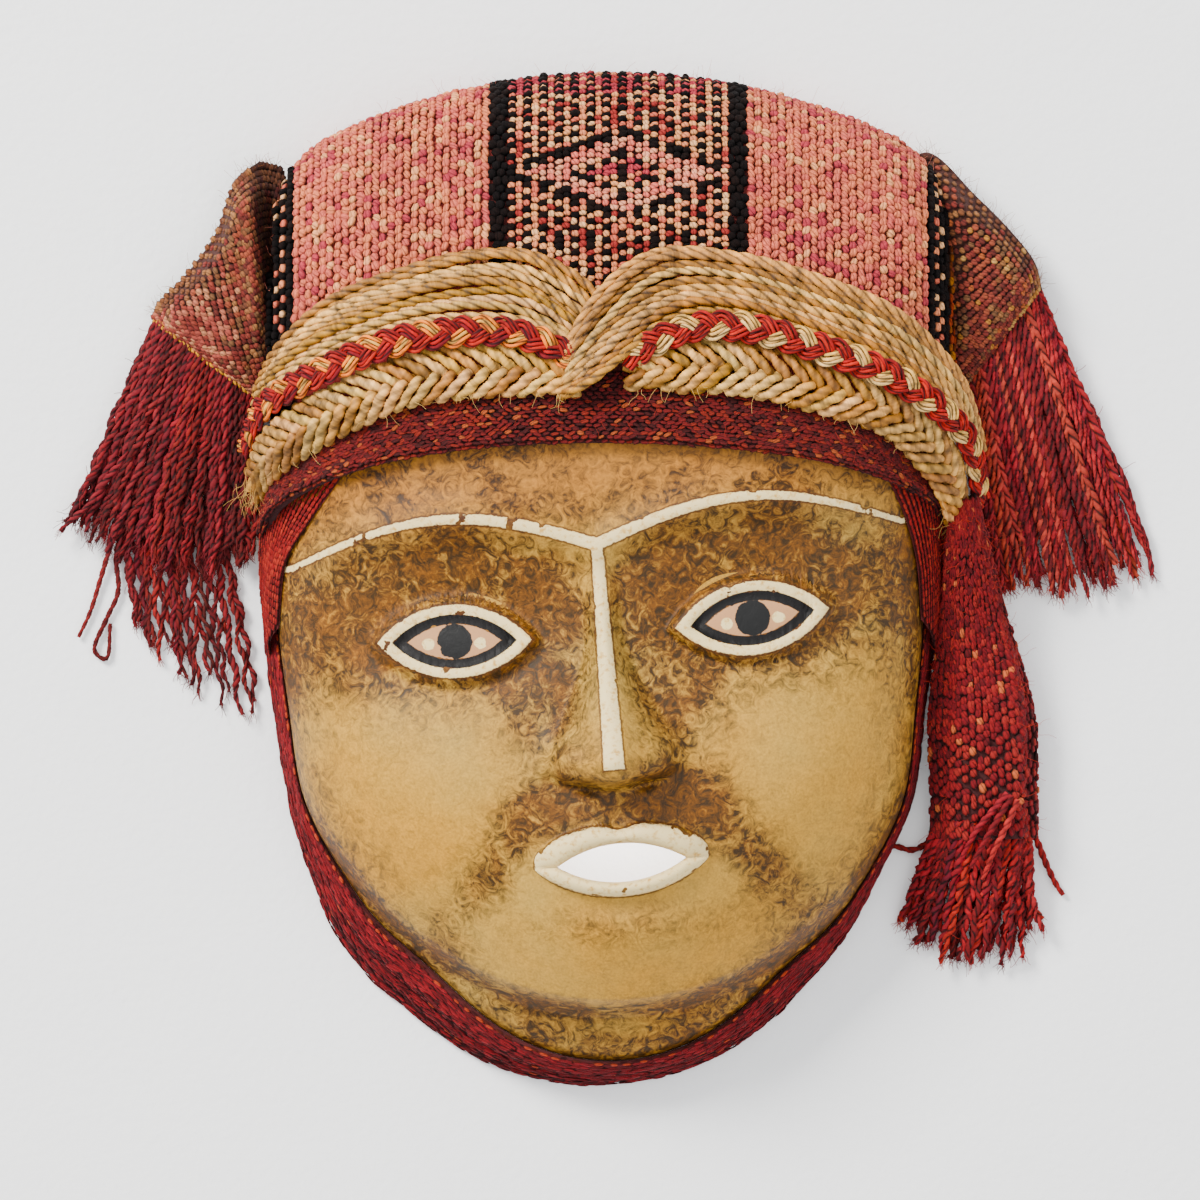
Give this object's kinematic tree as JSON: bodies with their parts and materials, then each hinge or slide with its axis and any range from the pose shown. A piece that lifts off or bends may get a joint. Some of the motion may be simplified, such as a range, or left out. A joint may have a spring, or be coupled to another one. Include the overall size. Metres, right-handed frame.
{
  "type": "inca woman mask",
  "caption": "Hollow moulded clay mask of a woman's face, dressed with a woven crown cloth, brow and jaw cloths, a crossed straw rope band, long wool fringes and a hanging scarf.",
  "frame": {"origin": "middle of the whole mask in plan, on the plane of its flat back rim", "axes": "+Z out of the face, +Y towards the crown, +X to the right as seen from in front"},
  "size_m": [0.2705, 0.2525, 0.0649],
  "materials": {
    "clay": "burnished, mottled brown, with cream and black paint",
    "crown_weave": "coarse wool weave, pink with black and brown stripes",
    "red_weave": "fine wool weave, dark red",
    "straw_rope": "twisted plant fibre",
    "two_tone_braid": "braided wool, red and cream",
    "fringe_yarn": "two-ply twisted wool"
  },
  "bodies": {
    "root": {"mask": "clay", "head_cloth": "crown_weave", "brow_cloth": "red_weave", "jaw_cloth": "red_weave", "side_scarf": "red_weave", "rope_bundle_left": "straw_rope", "rope_bundle_right": "straw_rope", "plait_left": "straw_rope", "plait_right": "straw_rope", "braid_left": "two_tone_braid", "braid_right": "two_tone_braid", "fringe_left": "fringe_yarn", "under_fringe_left": "fringe_yarn", "fringe_right": "fringe_yarn", "scarf_fringe": "fringe_yarn"}
  },
  "joints": []
}
